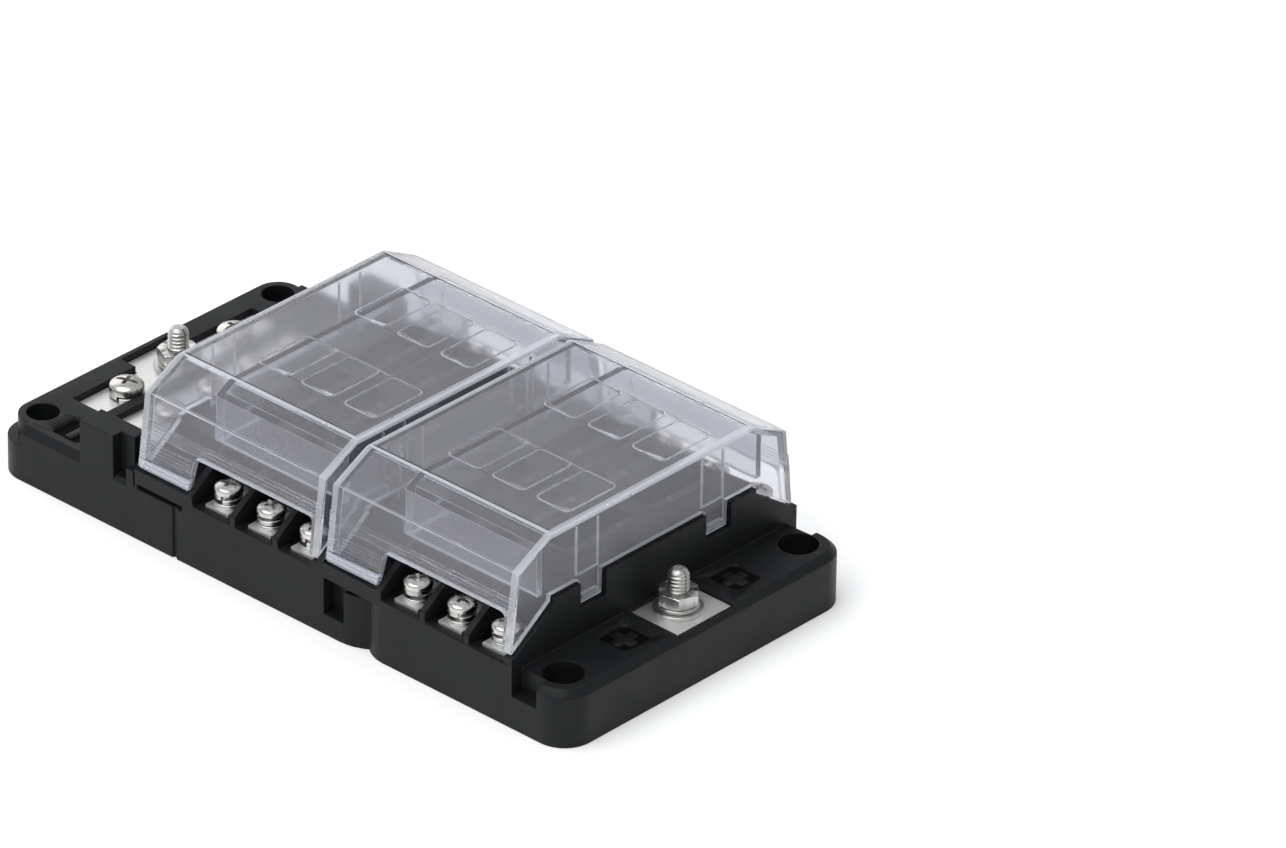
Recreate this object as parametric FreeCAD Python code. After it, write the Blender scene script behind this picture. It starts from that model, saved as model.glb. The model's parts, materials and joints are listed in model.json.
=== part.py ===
import FreeCAD, Part
import math
import os

Vector = FreeCAD.Vector

# A twelve-way blade fuse block with a positive supply stud at its right end (+X) and a common
# negative bus at its left end (-X). Millimetres, +Z up, origin under the middle of the base.
# Each side (-Y and +Y) carries six load terminals, three under each of the two clear covers.

# Base outline
base_length = 163.6
base_width = 85.0
base_corner_radius = 7.0
skirt_height = 8.4
plateau_height = 13.1
edge_chamfer = 1.5
left_step = 1.7
right_plateau_length = 15.0

# Mounting holes
right_hole_diameter = 8.5
right_hole_inset = 7.8
right_hole_side_inset = 7.5
left_hole_diameter = 7.0
left_hole_inset = 7.0
left_hole_side_inset = 7.7
left_boss_wall = 1.8

# Middle of the base, the same section at both modules
modules = 2
terminals_per_side = 3
terminal_pitch = 12.25
divider_thickness = 1.55
end_web = 1.4
end_ledge = 1.0
cover_length = 51.6
module_gap = 2.2
first_terminal = 21.5
deck_inset = 12.5
deck_height = 24.0
shoulder_inset = 10.5
shoulder_foot = 16.9
terminal_floor = 14.6
seat_inset = 1.2
seat_foot = 16.2
seat_top = 25.3
rail_top = 16.7
rail_groove_height = 1.1
rail_groove_depth = 1.2
rail_lip = 3.4

# Outer side details of the base
side_wall_left = 25.7
side_wall_length = 9.7
side_wall_thickness = 6.3
side_wall_top = 22.0
side_leaf_length = 3.7
side_leaf_inset = 2.6
side_recess_floor = 12.5
side_post_top = 15.9
side_groove_width = 0.4
side_groove_depth = 0.6
latch_pocket_width = 5.6
latch_pocket_depth = 3.0
latch_pocket_floor = 4.8
waist_offset = 10.9
waist_depth = 2.0
waist_left_run = 7.0
waist_right_run = 6.2
seam_depth = 0.5
corner_notch_width = 6.7
corner_notch_depth = 3.1
corner_notch_floor = 7.6

# Polarity marks, sunk panels with a raised sign
mark_panel_size = 8.4
mark_panel_depth = 0.8
mark_bar_length = 5.8
mark_bar_width = 1.9
positive_mark_inset = 8.4
positive_mark_half_spacing = 16.5
negative_mark_inset = 17.6
negative_mark_side_inset = 7.5

# Underside
rim = 3.0
back_plate_thickness = 2.0
floor_skin = 2.2
back_plate_gap = 0.2
back_screw_head_diameter = 5.6
back_screw_head_height = 1.2
back_screw_shank_diameter = 2.8
back_screw_length = 7.0
back_screw_post_diameter = 6.4

# Fuse sockets
fuse_offset = 1.6
fuse_body_length = 19.3
fuse_body_width = 5.6
fuse_blade_spacing = 13.9
fuse_blade_width = 6.0
fuse_slot_width = 1.6
socket_top = 31.0
socket_wall = 0.8
socket_lamp_side = 2.4
socket_middle_wall = 4.6
socket_end_wall = 0.9
socket_corner = 1.0
socket_floor_skin = 1.2
chamber_width = 5.2
chamber_length = 7.0

# Contacts, folded and stamped from tinned sheet
sheet = 0.8
terminal_width = 6.5
terminal_front_gap = 1.8
clip_leaf_gap = 0.9
clip_leaf_width = 5.4
clip_roof_gap = 0.4
line_clip_foot = 4.4

# Positive bus and stud
bus_thickness = 1.5
bus_half_width = 8.2
bus_top = 12.4
pad_length = 12.6
pad_end_inset = 1.9
stud_inset = 8.9
stud_diameter = 4.5
stud_rise = 9.6
stud_head_diameter = 9.0
stud_head_height = 2.4
stud_tip_chamfer = 1.0

# Nut and washers, the same on both studs
flat_washer_diameter = 10.6
flat_washer_thickness = 0.8
spring_washer_diameter = 8.8
spring_washer_thickness = 1.0
spring_washer_slit = 0.8
nut_across_flats = 8.0
nut_height = 2.8
nut_chamfer_angle = 30.0
positive_nut_turn = 14.0
negative_nut_turn = -25.0

# Negative bus
negative_plate_thickness = 1.2
negative_plate_top = 11.6
negative_pocket_inset = 7.4
negative_pocket_length = 27.4
negative_pocket_side_inset = 15.9
negative_tab_inset = 3.0
negative_tab_half_width = 8.0
negative_stud_inset = 12.0
negative_large_inset = 12.6
negative_large_edge = 10.7
negative_rib_inset = 16.4
negative_rib_thickness = 2.8
negative_small_inset = 27.4
negative_small_edge = 8.225
negative_small_count = 4

# Screws
load_head_diameter = 6.1
load_head_height = 1.9
load_shank_diameter = 3.4
load_shank_length = 8.5
load_washer_diameter = 6.0
load_washer_thickness = 1.0
load_spring_diameter = 5.8
load_spring_thickness = 2.0
load_screw_from_edge = 5.3
large_head_diameter = 7.5
large_head_height = 2.5
large_spring_thickness = 1.2
large_shank_diameter = 4.4
large_shank_length = 8.0
cross_width = 1.1
cross_length_share = 0.62
cross_depth_share = 0.55

# Lamps that show a blown fuse
lamp_diameter = 1.6
lamp_length = 3.0
lamp_proud = 0.3
lamp_from_middle = 7.4

# Clear covers
cover_top = 39.6
cover_top_inset = 12.6
cover_chamfer_height = 34.5
cover_chamfer_inset = 2.7
cover_foot_inset = 0.6
cover_wall = 1.7
cover_tab_foot = 17.0
cover_end_foot = 16.5
notch_top = 24.9
notch_lead = 0.75
notch_lean = 1.44
notch_corner = 1.0
flange_width = 2.6
cover_seat_gap = 0.3
skirt_inset = 9.3
skirt_thickness = 1.4
skirt_foot = 26.0
rib_clearance = 0.6
rib_thickness = 1.6
tongue_half_spacing = 18.6
tongue_width = 6.75
tongue_foot = 19.8
tongue_window_height = 0.8
tongue_window_margin = 1.0
tongue_clearance = 0.35
label_width = 9.4
label_length = 15.2
label_from_middle = 6.5
label_shift = 1.2
label_line = 0.4
label_depth = 0.25
label_corner = 1.5
grip_pitch = 0.85
grip_height = 0.35
grip_depth = 0.15
grip_tab_lines = 8
grip_band_lines = 4

# Fits
running_gap = 0.05
pocket_gap = 0.2

# Places worked out from the sizes above
left_end = -base_length / 2
right_end = base_length / 2
side = base_width / 2
deck_half_width = side - deck_inset
shoulder_half_width = side - shoulder_inset
seat_half_width = side - seat_inset
right_hole_half_spacing = side - right_hole_side_inset
left_hole_half_spacing = side - left_hole_side_inset
side_wall_inner = side - side_wall_thickness
side_leaf_half_width = side - side_leaf_inset
negative_mark_half_spacing = side - negative_mark_side_inset
negative_pocket_half_width = side - negative_pocket_side_inset
negative_large_pitch = negative_pocket_half_width - negative_large_edge
negative_small_pitch = 2 * (negative_pocket_half_width - negative_small_edge) / (negative_small_count - 1)
cover_top_half_width = side - cover_top_inset
cover_chamfer_half_width = side - cover_chamfer_inset
cover_foot_half_width = side - cover_foot_inset
skirt_half_width = side - skirt_inset
body_end = right_end - right_plateau_length
bay_width = terminal_pitch - divider_thickness
tab_zone = first_terminal - bay_width / 2 - divider_thickness
module_pitch = cover_length + module_gap
last_start = body_end - end_ledge - cover_length
module_starts = [last_start - module_pitch * (modules - 1 - i) for i in range(modules)]
body_start = module_starts[0] - end_ledge
pad_top = terminal_floor + sheet
pad_end = right_end - pad_end_inset
pad_start = pad_end - pad_length
stud_x = right_end - stud_inset
negative_stud_x = left_end + negative_stud_inset
socket_half_length = socket_middle_wall / 2 + fuse_body_length + socket_end_wall
fuse_middle = socket_middle_wall / 2 + fuse_body_length / 2
line_blade_y = fuse_middle - fuse_blade_spacing / 2
load_blade_y = fuse_middle + fuse_blade_spacing / 2
chamber_roof = deck_height - socket_floor_skin
clip_top = chamber_roof - clip_roof_gap
bus_start = module_starts[0] + tab_zone
load_screw_y = side - load_screw_from_edge
back_plate_top = back_plate_gap + back_plate_thickness


def terminal_positions():
    """X of each load terminal, module by module."""
    return [start + first_terminal + terminal_pitch * i
            for start in module_starts for i in range(terminals_per_side)]


def terminal_places():
    """The twelve load terminals as (x, side sign), the -Y side first in each column."""
    return [(x, sign) for x in terminal_positions() for sign in (-1, 1)]


def bay_limits(x):
    """Low and high X of the bay about a terminal; the last one of a module ends at the end web."""
    web = min(start + cover_length - end_web for start in module_starts if start + cover_length > x)
    return x - bay_width / 2, min(x + bay_width / 2, web)


def box(x0, x1, y0, y1, z0, z1):
    return Part.makeBox(x1 - x0, y1 - y0, z1 - z0, Vector(x0, y0, z0))


def side_box(sign, x0, x1, y0, y1, z0, z1):
    """A box given for the +Y side, placed on the side that sign names."""
    low, high = sorted((sign * y0, sign * y1))
    return box(x0, x1, low, high, z0, z1)


def rod(x, y, diameter, z0, z1):
    return Part.makeCylinder(diameter / 2, z1 - z0, Vector(x, y, z0))


def rounded_box(x0, x1, y0, y1, z0, z1, radius):
    """A box with its four upright edges rounded."""
    solid = box(x0, x1, y0, y1, z0, z1)
    upright = [e for e in solid.Edges if abs(e.Vertexes[0].Z - e.Vertexes[1].Z) > (z1 - z0) / 2]
    return solid.makeFillet(radius, upright)


def prism_along_x(points, x0, x1):
    """Extrude an outline of (y, z) points along X."""
    corners = [Vector(x0, y, z) for y, z in points]
    face = Part.Face(Part.makePolygon(corners + corners[:1]))
    return face.extrude(Vector(x1 - x0, 0, 0))


def prism_along_y(points, y0, y1):
    """Extrude an outline of (x, z) points along Y."""
    corners = [Vector(x, y0, z) for x, z in points]
    face = Part.Face(Part.makePolygon(corners + corners[:1]))
    return face.extrude(Vector(0, y1 - y0, 0))


def joined(solids):
    whole = solids[0].multiFuse(solids[1:]) if len(solids) > 1 else solids[0]
    return whole.removeSplitter()


def save(name, shape):
    shape.exportStep("parts/" + name + ".step")


def mirrored_outline(points):
    """Close a half outline of (y, z) points, given from the middle outwards, with its mirror image."""
    return points + [(-y, z) for y, z in reversed(points)]


def cover_outline(inset, foot):
    """Outer section of a cover, or its inner one when inset is the wall, down to the height foot."""
    slope = (cover_foot_half_width - cover_chamfer_half_width) / (cover_chamfer_height - cover_end_foot)
    foot_half = cover_chamfer_half_width + slope * (cover_chamfer_height - foot)
    return mirrored_outline([(cover_top_half_width - inset * 0.3, cover_top - inset),
                             (cover_chamfer_half_width - inset, cover_chamfer_height - inset * 0.7),
                             (foot_half - inset, foot)])


def cover_side_y(height):
    """Outer half width of a cover's side wall at a height."""
    slope = (cover_foot_half_width - cover_chamfer_half_width) / (cover_chamfer_height - cover_end_foot)
    return cover_chamfer_half_width + slope * (cover_chamfer_height - height)


def body_section():
    """Section of the middle of the base: deck, sloping shoulders and upright sides."""
    return mirrored_outline([(shoulder_half_width, deck_height), (side, shoulder_foot), (side, 0)])


def seat_room(foot, lift):
    """Section of the room above a cover's end wall seat: a sill, a step and a slope to the height foot."""
    slope = (seat_half_width - deck_half_width) / (deck_height - seat_foot)
    reach = deck_half_width + slope * (deck_height - foot)
    step = deck_half_width + lift
    high = cover_top + cover_wall
    wide = side + cover_wall
    seat = [(wide, high), (wide, foot + lift), (reach, foot + lift), (step, deck_height + lift),
            (step, seat_top + lift)]
    return mirrored_outline(seat[::-1])[::-1]


def end_wall_reaches(gap):
    """Low and high X of the seats at each cover's two ends, open at the block's own end faces."""
    reaches = []
    for start in module_starts:
        end = start + cover_length
        low = start - (end_ledge if start == module_starts[0] else gap)
        high = end + (end_ledge if start == module_starts[-1] else gap)
        reaches.append((low, start + cover_wall + gap, end - cover_wall - gap, high))
    return reaches


def seat_sills():
    """Sills across the deck under the covers' end walls."""
    sills = []
    for low, inner_low, inner_high, high in end_wall_reaches(0):
        for x0, x1 in ((low, inner_low), (inner_high, high)):
            sills.append(box(x0, x1, -deck_half_width, deck_half_width, terminal_floor, seat_top))
    return sills


def stud_places():
    """The two studs as (x, top of the plate they stand on)."""
    return [(stud_x, bus_top), (negative_stud_x, negative_plate_top)]


def negative_large_places():
    return [(left_end + negative_large_inset, sign * negative_large_pitch) for sign in (-1, 1)]


def negative_small_places():
    x = left_end + negative_small_inset
    middle = (negative_small_count - 1) / 2
    return [(x, (i - middle) * negative_small_pitch) for i in range(negative_small_count)]


def back_screw_places():
    """Four back plate screws, two in the plateau at each end of the middle block."""
    near_right = body_end - end_web - back_screw_post_diameter / 2
    near_left = body_start - back_screw_post_diameter
    spread = deck_half_width - back_screw_post_diameter
    return [(x, sign * spread) for x in (near_left, near_right) for sign in (-1, 1)]


def left_plateau():
    """Upper part of the left end: full width, but stepped in around each corner hole."""
    edge = left_end + left_step
    hole_x = left_end + left_hole_inset
    boss = left_hole_diameter / 2 + left_boss_wall
    top, foot = plateau_height, skirt_height
    inner = hole_x + left_boss_wall / 2
    chamfered = [(side, foot), (side, top - edge_chamfer), (side - edge_chamfer, top)]
    middle = [(-y, z) for y, z in reversed(chamfered)]
    solids = [prism_along_x(chamfered + middle, inner, body_start),
              box(edge, body_start, -left_hole_half_spacing, left_hole_half_spacing, foot, top)]
    for sign in (-1, 1):
        solids.append(rod(hole_x, sign * left_hole_half_spacing, 2 * boss, foot, top))
    return joined(solids)


def right_plateau():
    """Upper part of the right end with its rim chamfered."""
    slab = rounded_box(body_end - base_corner_radius, right_end, -side, side, 0, plateau_height,
                       base_corner_radius)
    slab = slab.common(box(body_end, right_end, -side, side, skirt_height, plateau_height))
    rim_edges = [e for e in slab.Edges
                 if min(v.Z for v in e.Vertexes) > plateau_height - running_gap
                 and max(v.X for v in e.Vertexes) > body_end + running_gap]
    return slab.makeChamfer(edge_chamfer, rim_edges)


def corner_notches():
    """Notches in the right plateau's sides, next to the middle block."""
    return [side_box(sign, body_end, body_end + corner_notch_width, side - corner_notch_depth,
                     side + sheet, corner_notch_floor, plateau_height + sheet) for sign in (-1, 1)]


def side_walls():
    """Raised walls beside the negative bus: a thick part, a thin leaf and a low post at the block."""
    start = left_end + side_wall_left
    middle = start + side_wall_length
    end = middle + side_leaf_length
    walls = []
    for sign in (-1, 1):
        walls.append(side_box(sign, start, middle, side_wall_inner, side, skirt_height, side_wall_top))
        walls.append(side_box(sign, middle, end, side_wall_inner, side_leaf_half_width,
                              skirt_height, side_wall_top))
        walls.append(side_box(sign, end, body_start, side_wall_inner, side, skirt_height, side_post_top))
    return walls


def side_wall_cuts():
    """Recess outside each thin leaf, and the fine groove where the low post meets the block."""
    middle = left_end + side_wall_left + side_wall_length
    cuts = []
    for sign in (-1, 1):
        cuts.append(side_box(sign, middle, middle + side_leaf_length, side_leaf_half_width, side + sheet,
                             side_recess_floor, side_wall_top + sheet))
        cuts.append(side_box(sign, body_start, body_start + side_groove_width, side - side_groove_depth,
                             side + sheet, side_recess_floor, shoulder_foot + sheet))
    return cuts


def waist_cutter(sign, x):
    """Shallow notch across the side between the modules, its left flank a wide arc."""
    y0, y1 = sign * side, sign * (side - waist_depth)
    outer = sign * (side + waist_depth)
    arc_y = sign * (side - waist_depth * 0.25)
    start = Vector(x - waist_left_run, y0, 0)
    deep = Vector(x, y1, 0)
    end = Vector(x + waist_right_run, y0, 0)
    left = Part.Arc(start, Vector(x - waist_left_run * 0.45, arc_y, 0), deep).toShape()
    right = Part.Arc(deep, Vector(x + waist_right_run * 0.45, arc_y, 0), end).toShape()
    corners = [end, Vector(end.x, outer, 0), Vector(start.x, outer, 0), start]
    back = [Part.makeLine(a, b) for a, b in zip(corners, corners[1:])]
    face = Part.Face(Part.Wire([left, right] + back))
    return face.extrude(Vector(0, 0, rail_top - rail_lip))


def mark_cutter(x, y, upright):
    """A sunk square panel that leaves a raised bar, or a cross when upright is true."""
    half = mark_panel_size / 2
    panel = rounded_box(x - half, x + half, y - half, y + half, plateau_height - mark_panel_depth,
                        plateau_height + mark_panel_depth, label_corner)
    reach, thick = mark_bar_length / 2, mark_bar_width / 2
    top = plateau_height - mark_panel_depth / 2
    bars = [box(x - thick, x + thick, y - reach, y + reach, 0, top)]
    if upright:
        bars.append(box(x - reach, x + reach, y - thick, y + thick, 0, top))
    return panel.cut(joined(bars))


def terminal_bays():
    """The open bays for the load wires, and the open ground above each cover tab's rail."""
    cuts = []
    above = deck_height + sheet
    for start in module_starts:
        for sign in (-1, 1):
            cuts.append(side_box(sign, start + end_web, start + tab_zone, deck_half_width, side + sheet,
                                 rail_top, above))
    for x, sign in terminal_places():
        low, high = bay_limits(x)
        cuts.append(side_box(sign, low, high, deck_half_width, side + sheet, terminal_floor, above))
    return cuts


def cover_seats():
    """Room for each cover's two end walls, level with the rails at the end that has the tabs."""
    seats = []
    for low, inner_low, inner_high, high in end_wall_reaches(pocket_gap):
        seats.append(prism_along_x(seat_room(rail_top, 0), low, inner_low))
        seats.append(prism_along_x(seat_room(seat_foot, 0), inner_high, high))
    return seats


def rail_details():
    """Grooves under the rails, the latch pockets, the waist and the seam on both sides."""
    cuts = []
    groove_top = rail_top - rail_lip
    for index, start in enumerate(module_starts):
        pocket_end = start + latch_pocket_width * index
        for sign in (-1, 1):
            cuts.append(side_box(sign, pocket_end, start + tab_zone - divider_thickness,
                                 side - rail_groove_depth, side + sheet,
                                 groove_top - rail_groove_height, groove_top))
    second = module_starts[-1]
    for sign in (-1, 1):
        cuts.append(side_box(sign, second, second + latch_pocket_width, side - latch_pocket_depth,
                             side + sheet, latch_pocket_floor, groove_top))
        cuts.append(waist_cutter(sign, second + waist_offset))
        seam_x = module_starts[0] + waist_offset
        cuts.append(side_box(sign, seam_x - seam_depth, seam_x + seam_depth, side - seam_depth,
                             side + sheet, 0, groove_top))
    return cuts


def tongue_slots():
    """Slots that the cover tongues drop into, open to the end faces of the middle block."""
    cuts = []
    half = tongue_width / 2 + tongue_clearance
    for low, inner_low, inner_high, high in end_wall_reaches(tongue_clearance):
        for x0, x1 in ((low, inner_low), (inner_high, high)):
            for sign in (-1, 1):
                y = sign * tongue_half_spacing
                cuts.append(box(x0, x1, y - half, y + half, tongue_foot - tongue_clearance,
                                seat_top + sheet))
    return cuts


def socket_towers(start):
    """One module's towers, each for a pair of fuses, standing on the deck and open at both ends."""
    towers = []
    for x in [start + first_terminal + terminal_pitch * i for i in range(terminals_per_side)]:
        fuse_x = x - fuse_offset
        low = fuse_x - fuse_body_width / 2 - socket_wall
        high = fuse_x + fuse_body_width / 2 + socket_lamp_side
        towers.append(rounded_box(low, high, -socket_half_length, socket_half_length,
                                  deck_height, socket_top, socket_corner))
    cuts = fuse_rooms() + lamp_holes()
    return Part.Compound([tower.cut(cuts) for tower in towers])


def fuse_rooms():
    """The rooms for the fuse bodies, right through the towers."""
    rooms = []
    for x, sign in terminal_places():
        fuse_x = x - fuse_offset
        half = fuse_body_width / 2
        inner = socket_middle_wall / 2
        rooms.append(side_box(sign, fuse_x - half, fuse_x + half, inner, inner + fuse_body_length,
                              deck_height, socket_top))
    return rooms


def lamp_holes():
    holes = []
    for x, sign in terminal_places():
        lamp_x = x - fuse_offset + (fuse_body_width + socket_lamp_side) / 2
        holes.append(rod(lamp_x, sign * lamp_from_middle, lamp_diameter + 2 * running_gap,
                         socket_top + lamp_proud - lamp_length, socket_top))
    return holes


def contact_cuts():
    """Blade slots in the deck, the contact chambers under them and the strips' ways out."""
    cuts = []
    for x, sign in terminal_places():
        fuse_x = x - fuse_offset
        for blade_y in (line_blade_y, load_blade_y):
            cuts.append(side_box(sign, fuse_x - fuse_slot_width / 2, fuse_x + fuse_slot_width / 2,
                                 blade_y - fuse_blade_width / 2, blade_y + fuse_blade_width / 2,
                                 chamber_roof, deck_height))
            cuts.append(side_box(sign, fuse_x - chamber_width / 2, fuse_x + chamber_width / 2,
                                 blade_y - chamber_length / 2, blade_y + chamber_length / 2,
                                 back_plate_top, chamber_roof))
        half = terminal_width / 2 + running_gap
        cuts.append(side_box(sign, x - half, x + half, load_blade_y, deck_half_width,
                             terminal_floor, pad_top))
    return cuts


def bus_cuts():
    """Channel for the positive bus, its pad's pocket and the pocket of the negative bus."""
    half = bus_half_width + pocket_gap
    low = bus_top - bus_thickness
    cuts = [box(bus_start - pocket_gap, body_end, -half, half, back_plate_top, bus_top),
            box(body_end, pad_end + pocket_gap, -half, half, low, bus_top),
            box(pad_start, pad_end + pocket_gap, -half, half, low, plateau_height),
            box(pad_end, right_end, -half, half, bus_top, plateau_height)]
    low = negative_plate_top - negative_plate_thickness
    start = left_end + negative_pocket_inset
    tab = left_end + negative_tab_inset
    rib = left_end + negative_rib_inset
    pocket = box(start, start + negative_pocket_length, -negative_pocket_half_width,
                 negative_pocket_half_width, low, plateau_height)
    bridge = box(rib, rib + negative_rib_thickness, -negative_pocket_half_width, negative_pocket_half_width,
                 negative_plate_top, plateau_height)
    washers = [(negative_stud_x, 0, flat_washer_diameter)]
    washers += [(x, y, large_head_diameter) for x, y in negative_large_places()]
    for x, y, diameter in washers:
        bridge = bridge.cut(rod(x, y, diameter + 2 * pocket_gap, negative_plate_top, plateau_height))
    stud_bay = box(tab, start, -negative_tab_half_width, negative_tab_half_width, low, plateau_height)
    return cuts + [pocket.cut(bridge), stud_bay]


def fastener_holes():
    """Mounting holes, and the seats of the studs, the screws and the back plate's screws."""
    cuts = []
    through = plateau_height + sheet
    for sign in (-1, 1):
        cuts.append(rod(right_end - right_hole_inset, sign * right_hole_half_spacing, right_hole_diameter,
                        0, through))
        cuts.append(rod(left_end + left_hole_inset, sign * left_hole_half_spacing, left_hole_diameter,
                        0, through))
    for x, plate_top in stud_places():
        thickness = bus_thickness if x > 0 else negative_plate_thickness
        cuts.append(rod(x, 0, stud_head_diameter + 2 * running_gap, back_plate_top, plate_top - thickness))
    for x, sign in terminal_places():
        cuts.append(rod(x, sign * load_screw_y, load_shank_diameter + 2 * running_gap,
                        pad_top - load_shank_length, terminal_floor))
    for x, y in negative_large_places():
        cuts.append(rod(x, y, large_shank_diameter + 2 * running_gap,
                        negative_plate_top - large_shank_length, negative_plate_top))
    for x, y in negative_small_places():
        cuts.append(rod(x, y, load_shank_diameter + 2 * running_gap,
                        negative_plate_top - load_shank_length, negative_plate_top))
    for x, y in back_screw_places():
        cuts.append(rod(x, y, back_screw_shank_diameter + 2 * running_gap, 0, back_screw_length + sheet))
    return cuts


def core_cuts():
    """Hollows under the bays and the deck that keep the moulding's walls even."""
    cuts = []
    core_top = terminal_floor - floor_skin
    inner = load_blade_y + chamber_length / 2 + floor_skin
    for x, sign in terminal_places():
        low, high = bay_limits(x)
        hollow = side_box(sign, low, high, inner, side - rim, back_plate_top, core_top)
        post = rod(x, sign * load_screw_y, load_shank_diameter + 2 * floor_skin, back_plate_top, core_top)
        cuts.append(hollow.cut(post))
    low_y = bus_half_width + floor_skin
    high_y = deck_half_width - back_screw_post_diameter - floor_skin
    for start in module_starts:
        low = start + end_web + cover_wall + floor_skin
        high = start + tab_zone - floor_skin - divider_thickness
        for sign in (-1, 1):
            cuts.append(side_box(sign, low, high, low_y, high_y, back_plate_top, tongue_foot - floor_skin))
    return cuts


def whole_base():
    """The black moulding in one piece, without its fuse sockets."""
    skirt = rounded_box(left_end, right_end, -side, side, 0, skirt_height, base_corner_radius)
    middle = prism_along_x(body_section(), body_start, body_end)
    solid = joined([skirt, left_plateau(), right_plateau(), middle] + seat_sills() + side_walls())
    for cutters in (terminal_bays(), cover_seats(), side_wall_cuts(), corner_notches(), rail_details(),
                    tongue_slots(), contact_cuts(), bus_cuts(), core_cuts(), fastener_holes()):
        solid = solid.cut(cutters)
    for sign in (-1, 1):
        positive_x = right_end - positive_mark_inset
        negative_x = left_end + negative_mark_inset
        solid = solid.cut(mark_cutter(positive_x, sign * positive_mark_half_spacing, True))
        solid = solid.cut(mark_cutter(negative_x, sign * negative_mark_half_spacing, False))
    recess = rounded_box(left_end + rim, right_end - rim, -side + rim, side - rim, 0, back_plate_top,
                         base_corner_radius - rim)
    bosses = []
    for sign in (-1, 1):
        bosses.append(rod(right_end - right_hole_inset, sign * right_hole_half_spacing,
                          right_hole_diameter + 2 * floor_skin, 0, back_plate_top))
        bosses.append(rod(left_end + left_hole_inset, sign * left_hole_half_spacing,
                          left_hole_diameter + 2 * floor_skin, 0, back_plate_top))
    return solid.cut(recess.cut(joined(bosses)))


def save_base():
    """Save the moulding as simpler pieces that meet: lower part, deck, bay walls and sockets."""
    whole = whole_base()
    deck_room = box(body_start, body_end, -deck_half_width, deck_half_width, terminal_floor, seat_top)
    wall_rooms = [side_box(sign, body_start, body_end, deck_half_width, side, terminal_floor, deck_height)
                  for sign in (-1, 1)]
    save("base_housing", whole.cut([deck_room] + wall_rooms).removeSplitter())
    save("contact_deck", whole.common(deck_room).removeSplitter())
    for name, room in zip(("bay_walls_front", "bay_walls_back"), wall_rooms):
        save(name, whole.common(room).removeSplitter())
    save("fuse_sockets_left", socket_towers(module_starts[0]))
    save("fuse_sockets_right", socket_towers(module_starts[1]))


def back_plate():
    """Insulating plate let into the underside, with two ribs that hold the positive bus up."""
    gap = pocket_gap
    plate = rounded_box(left_end + rim + gap, right_end - rim - gap, -side + rim + gap, side - rim - gap,
                        back_plate_gap, back_plate_top, base_corner_radius - rim)
    for sign in (-1, 1):
        plate = plate.cut(rod(right_end - right_hole_inset, sign * right_hole_half_spacing,
                              right_hole_diameter + 2 * floor_skin + 2 * gap, 0, skirt_height))
        plate = plate.cut(rod(left_end + left_hole_inset, sign * left_hole_half_spacing,
                              left_hole_diameter + 2 * floor_skin + 2 * gap, 0, skirt_height))
    for x, y in back_screw_places():
        plate = plate.cut(rod(x, y, back_screw_shank_diameter + 2 * running_gap, 0, back_plate_top))
        plate = plate.cut(rod(x, y, back_screw_head_diameter + 2 * gap, 0,
                              back_plate_gap + back_screw_head_height))
    ribs = []
    for start in module_starts:
        rib_x = start + tab_zone + terminal_pitch
        ribs.append(box(rib_x - sheet, rib_x + sheet, -bus_half_width, bus_half_width,
                        back_plate_top, bus_top - bus_thickness))
    return joined([plate] + ribs)


def back_plate_screws():
    screws = []
    for x, y in back_screw_places():
        head = rod(x, y, back_screw_head_diameter, back_plate_gap, back_plate_gap + back_screw_head_height)
        shank = rod(x, y, back_screw_shank_diameter, back_plate_gap, back_plate_gap + back_screw_length)
        slot = box(x - cross_width / 2, x + cross_width / 2, y - back_screw_shank_diameter / 2,
                   y + back_screw_shank_diameter / 2, 0, back_plate_gap + back_screw_head_height / 2)
        screws.append(head.fuse(shank).cut(slot).removeSplitter())
    return Part.Compound(screws)


def domed_screw(x, y, seat, head_diameter, head_height, shank_diameter, shank_length):
    """Pan head screw with a cross recess, its head's underside at seat and its shank pointing down."""
    radius = head_diameter / 2
    crown = head_height * 0.55
    ball = (radius * radius + crown * crown) / (2 * crown)
    rim_height = head_height - crown
    head = Part.makeCylinder(radius, head_height, Vector(x, y, seat))
    head = head.common(Part.makeSphere(ball, Vector(x, y, seat + rim_height + crown - ball)))
    reach = radius * cross_length_share
    low = seat + head_height * (1 - cross_depth_share)
    high = seat + head_height
    for dx, dy in ((reach, cross_width / 2), (cross_width / 2, reach)):
        head = head.cut(box(x - dx, x + dx, y - dy, y + dy, low, high))
    shank = rod(x, y, shank_diameter, seat - shank_length, seat)
    return head.fuse(shank).removeSplitter()


def load_screw(x, y, seat):
    return domed_screw(x, y, seat, load_head_diameter, load_head_height, load_shank_diameter,
                       load_shank_length)


def ring(x, y, outer, inner, z0, z1):
    return rod(x, y, outer, z0, z1).cut(rod(x, y, inner, z0, z1))


def split_ring(x, y, outer, inner, z0, z1):
    slit = box(x, x + outer, y - spring_washer_slit / 2, y + spring_washer_slit / 2, z0, z1)
    return ring(x, y, outer, inner, z0, z1).cut(slit)


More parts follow.
